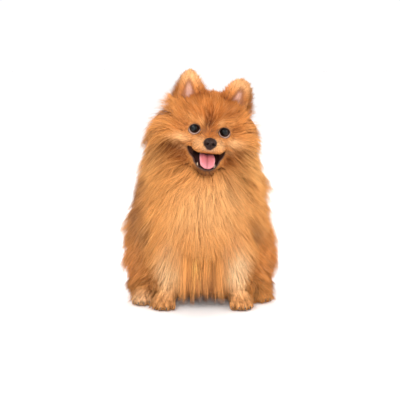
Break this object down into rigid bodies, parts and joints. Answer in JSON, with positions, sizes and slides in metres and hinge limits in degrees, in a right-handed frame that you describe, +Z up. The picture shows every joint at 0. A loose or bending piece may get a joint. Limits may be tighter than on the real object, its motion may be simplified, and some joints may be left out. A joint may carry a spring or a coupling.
{
  "type": "pomeranian",
  "caption": "Life-size still model of a sitting pomeranian with a deep orange coat, pricked ears, a plumed tail and an open mouth with the tongue out.",
  "frame": {"origin": "on the floor, at the middle of the flat underside of the rump that the dog sits on", "axes": "+Z up, -Y the way the dog faces, +X the dog's left side"},
  "size_m": [0.2486, 0.3277, 0.3477],
  "materials": {
    "coat": "soft long hair, orange, paler on the chest and darker on the back",
    "paw_coat": "short smooth hair, orange, with dark claws",
    "nose_skin": "moist, finely pebbled, almost black",
    "tongue_skin": "wet, pink",
    "eye_ball": "wet and glossy, very dark brown"
  },
  "bodies": {
    "root": {"head": "coat", "nose": "nose_skin", "lower_jaw": "coat", "tongue": "tongue_skin", "eye_left": "eye_ball", "eye_right": "eye_ball", "ear_left": "coat", "ear_right": "coat", "neck": "coat", "torso": "coat", "tail": "coat", "foreleg_left": "coat", "foreleg_right": "coat", "hind_leg_left": "coat", "hind_leg_right": "coat", "forepaw_left": "paw_coat", "forepaw_right": "paw_coat", "hind_paw_left": "paw_coat", "hind_paw_right": "paw_coat"}
  },
  "joints": []
}
